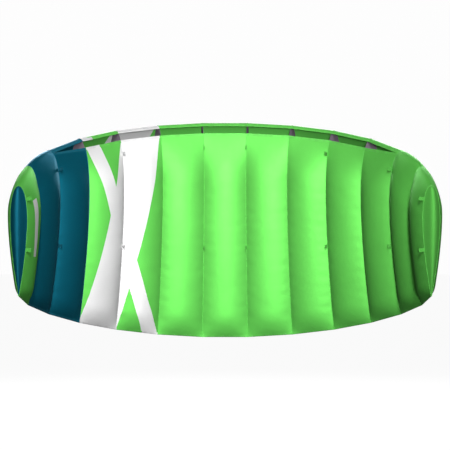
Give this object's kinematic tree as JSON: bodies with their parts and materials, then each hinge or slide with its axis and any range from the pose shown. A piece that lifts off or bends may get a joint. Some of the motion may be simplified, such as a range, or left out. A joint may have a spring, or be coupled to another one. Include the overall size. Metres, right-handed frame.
{
  "type": "ram-air power kite",
  "caption": "Ram-air fabric power kite, inflated: an arched wing of ribbed cells with nose intakes, closed tips and swinging webbing tabs for the bridle.",
  "frame": {"origin": "on the symmetry plane, in the chord plane of the middle ribs, level with their front bridle tabs: where the bridle holds the kite", "axes": "+X along the span to the right wing as the pilot sees it, +Z along the chord with the leading edge up, -Y from the lower skin towards the pilot"},
  "size_m": [1.1694, 0.6692, 0.6502],
  "materials": {
    "green_ripstop": "calendered ripstop nylon, light green, satin",
    "white_ripstop": "calendered ripstop nylon, white, satin",
    "teal_ripstop": "calendered ripstop nylon, dark teal, satin",
    "rib_fabric": "plain ripstop nylon, pale grey, matte",
    "seam_tape": "folded polyester hem tape with lockstitching",
    "tab_webbing": "woven polyester webbing, folded and bar-tacked"
  },
  "bodies": {
    "centre": {"upper_panel_C": "green_ripstop", "lower_panel_C": "green_ripstop", "upper_panel_L1": "green_ripstop", "lower_panel_L1": "green_ripstop", "upper_panel_R1": "green_ripstop", "lower_panel_R1": "green_ripstop", "upper_panel_L2": "white_ripstop", "lower_panel_L2": "white_ripstop", "upper_panel_R2": "green_ripstop", "lower_panel_R2": "green_ripstop", "rib_L2": "rib_fabric", "rib_L1": "rib_fabric", "rib_R1": "rib_fabric", "rib_R2": "rib_fabric"},
    "mid_L": {"upper_panel_L3": "white_ripstop", "lower_panel_L3": "white_ripstop", "upper_panel_L4": "teal_ripstop", "lower_panel_L4": "teal_ripstop", "rib_L3": "rib_fabric", "rib_L4": "rib_fabric"},
    "tip_L": {"upper_panel_L5": "teal_ripstop", "lower_panel_L5": "teal_ripstop", "upper_panel_L6": "green_ripstop", "lower_panel_L6": "green_ripstop", "rib_L5": "rib_fabric", "rib_L6": "rib_fabric", "end_panel_L": "teal_ripstop"},
    "mid_R": {"upper_panel_R3": "green_ripstop", "lower_panel_R3": "green_ripstop", "upper_panel_R4": "green_ripstop", "lower_panel_R4": "green_ripstop", "rib_R3": "rib_fabric", "rib_R4": "rib_fabric"},
    "tip_R": {"upper_panel_R5": "green_ripstop", "lower_panel_R5": "green_ripstop", "upper_panel_R6": "green_ripstop", "lower_panel_R6": "green_ripstop", "rib_R5": "rib_fabric", "rib_R6": "rib_fabric", "end_panel_R": "green_ripstop"},
    "bridle_tab_L1_front": {"bridle_tab_L1_front": "tab_webbing"},
    "bridle_tab_L1_rear": {"bridle_tab_L1_rear": "tab_webbing"},
    "bridle_tab_L3_front": {"bridle_tab_L3_front": "tab_webbing"},
    "bridle_tab_L3_rear": {"bridle_tab_L3_rear": "tab_webbing"},
    "bridle_tab_L5_front": {"bridle_tab_L5_front": "tab_webbing"},
    "bridle_tab_L5_rear": {"bridle_tab_L5_rear": "tab_webbing"},
    "bridle_tab_L7_front": {"bridle_tab_L7_front": "tab_webbing"},
    "bridle_tab_L7_rear": {"bridle_tab_L7_rear": "tab_webbing"},
    "bridle_tab_R1_front": {"bridle_tab_R1_front": "tab_webbing"},
    "bridle_tab_R1_rear": {"bridle_tab_R1_rear": "tab_webbing"},
    "bridle_tab_R3_front": {"bridle_tab_R3_front": "tab_webbing"},
    "bridle_tab_R3_rear": {"bridle_tab_R3_rear": "tab_webbing"},
    "bridle_tab_R5_front": {"bridle_tab_R5_front": "tab_webbing"},
    "bridle_tab_R5_rear": {"bridle_tab_R5_rear": "tab_webbing"},
    "bridle_tab_R7_front": {"bridle_tab_R7_front": "tab_webbing"},
    "bridle_tab_R7_rear": {"bridle_tab_R7_rear": "tab_webbing"}
  },
  "joints": [
    {"name": "inner_fold_L", "type": "hinge", "parent": "centre", "child": "mid_L", "pos_m": [-0.26383, -0.06823, -0.2], "axis": [0, 0, 1], "range_deg": [-8, 14], "stiffness_Nm_per_rad": 1, "deforming": ["upper_panel_L2", "lower_panel_L2"]},
    {"name": "outer_fold_L", "type": "hinge", "parent": "mid_L", "child": "tip_L", "pos_m": [-0.46151, -0.25582, -0.2], "axis": [0, 0, 1], "range_deg": [-12, 21], "stiffness_Nm_per_rad": 0.4, "deforming": ["upper_panel_L4", "lower_panel_L4"]},
    {"name": "inner_fold_R", "type": "hinge", "parent": "centre", "child": "mid_R", "pos_m": [0.26383, -0.06823, -0.2], "axis": [0, 0, -1], "range_deg": [-8, 14], "stiffness_Nm_per_rad": 1, "deforming": ["upper_panel_R2", "lower_panel_R2"]},
    {"name": "outer_fold_R", "type": "hinge", "parent": "mid_R", "child": "tip_R", "pos_m": [0.46151, -0.25582, -0.2], "axis": [0, 0, -1], "range_deg": [-12, 21], "stiffness_Nm_per_rad": 0.4, "deforming": ["upper_panel_R4", "lower_panel_R4"]},
    {"name": "bridle_tab_L1_front_swing", "type": "hinge", "parent": "centre", "child": "bridle_tab_L1_front", "pos_m": [-0.06375, -0.04306, 0.00023], "axis": [0.0224, -0.176, -0.9841], "range_deg": [-30, 30], "stiffness_Nm_per_rad": 0.0001},
    {"name": "bridle_tab_L1_rear_swing", "type": "hinge", "parent": "centre", "child": "bridle_tab_L1_rear", "pos_m": [-0.06396, -0.04143, -0.29959], "axis": [-0.0126, 0.0994, -0.995], "range_deg": [-30, 30], "stiffness_Nm_per_rad": 0.0001},
    {"name": "bridle_tab_L3_front_swing", "type": "hinge", "parent": "mid_L", "child": "bridle_tab_L3_front", "pos_m": [-0.30097, -0.13373, -0.0222], "axis": [0.1051, -0.1433, -0.9841], "range_deg": [-30, 30], "stiffness_Nm_per_rad": 0.0001},
    {"name": "bridle_tab_L3_rear_swing", "type": "hinge", "parent": "mid_L", "child": "bridle_tab_L3_rear", "pos_m": [-0.30181, -0.13258, -0.29485], "axis": [-0.0591, 0.0806, -0.995], "range_deg": [-30, 30], "stiffness_Nm_per_rad": 0.0001},
    {"name": "bridle_tab_L5_front_swing", "type": "hinge", "parent": "tip_L", "child": "bridle_tab_L5_front", "pos_m": [-0.46965, -0.32768, -0.07584], "axis": [0.162, -0.0747, -0.984], "range_deg": [-30, 30], "stiffness_Nm_per_rad": 0.0001},
    {"name": "bridle_tab_L5_rear_swing", "type": "hinge", "parent": "tip_L", "child": "bridle_tab_L5_rear", "pos_m": [-0.47053, -0.32728, -0.29014], "axis": [-0.0901, 0.0416, -0.9951], "range_deg": [-30, 30], "stiffness_Nm_per_rad": 0.0001},
    {"name": "bridle_tab_L7_front_swing", "type": "hinge", "parent": "tip_L", "child": "bridle_tab_L7_front", "pos_m": [-0.52682, -0.58335, -0.16336], "axis": [0.1797, 0.0133, -0.9836], "range_deg": [-30, 30], "stiffness_Nm_per_rad": 0.0001},
    {"name": "bridle_tab_L7_rear_swing", "type": "hinge", "parent": "tip_L", "child": "bridle_tab_L7_rear", "pos_m": [-0.52717, -0.58337, -0.29831], "axis": [-0.0971, -0.0072, -0.9952], "range_deg": [-30, 30], "stiffness_Nm_per_rad": 0.0001},
    {"name": "bridle_tab_R1_front_swing", "type": "hinge", "parent": "centre", "child": "bridle_tab_R1_front", "pos_m": [0.06375, -0.04306, 0.00023], "axis": [-0.0224, -0.176, -0.9841], "range_deg": [-30, 30], "stiffness_Nm_per_rad": 0.0001},
    {"name": "bridle_tab_R1_rear_swing", "type": "hinge", "parent": "centre", "child": "bridle_tab_R1_rear", "pos_m": [0.06396, -0.04143, -0.29959], "axis": [0.0126, 0.0994, -0.995], "range_deg": [-30, 30], "stiffness_Nm_per_rad": 0.0001},
    {"name": "bridle_tab_R3_front_swing", "type": "hinge", "parent": "mid_R", "child": "bridle_tab_R3_front", "pos_m": [0.30097, -0.13373, -0.0222], "axis": [-0.1051, -0.1433, -0.9841], "range_deg": [-30, 30], "stiffness_Nm_per_rad": 0.0001},
    {"name": "bridle_tab_R3_rear_swing", "type": "hinge", "parent": "mid_R", "child": "bridle_tab_R3_rear", "pos_m": [0.30181, -0.13258, -0.29485], "axis": [0.0591, 0.0806, -0.995], "range_deg": [-30, 30], "stiffness_Nm_per_rad": 0.0001},
    {"name": "bridle_tab_R5_front_swing", "type": "hinge", "parent": "tip_R", "child": "bridle_tab_R5_front", "pos_m": [0.46965, -0.32768, -0.07584], "axis": [-0.162, -0.0747, -0.984], "range_deg": [-30, 30], "stiffness_Nm_per_rad": 0.0001},
    {"name": "bridle_tab_R5_rear_swing", "type": "hinge", "parent": "tip_R", "child": "bridle_tab_R5_rear", "pos_m": [0.47053, -0.32728, -0.29014], "axis": [0.0901, 0.0416, -0.9951], "range_deg": [-30, 30], "stiffness_Nm_per_rad": 0.0001},
    {"name": "bridle_tab_R7_front_swing", "type": "hinge", "parent": "tip_R", "child": "bridle_tab_R7_front", "pos_m": [0.52682, -0.58335, -0.16336], "axis": [-0.1797, 0.0133, -0.9836], "range_deg": [-30, 30], "stiffness_Nm_per_rad": 0.0001},
    {"name": "bridle_tab_R7_rear_swing", "type": "hinge", "parent": "tip_R", "child": "bridle_tab_R7_rear", "pos_m": [0.52717, -0.58337, -0.29831], "axis": [0.0971, -0.0072, -0.9952], "range_deg": [-30, 30], "stiffness_Nm_per_rad": 0.0001}
  ],
  "couplings": [
    {"joint": "outer_fold_L", "follows": "inner_fold_L", "ratio": 1.5},
    {"joint": "outer_fold_R", "follows": "inner_fold_R", "ratio": 1.5}
  ]
}
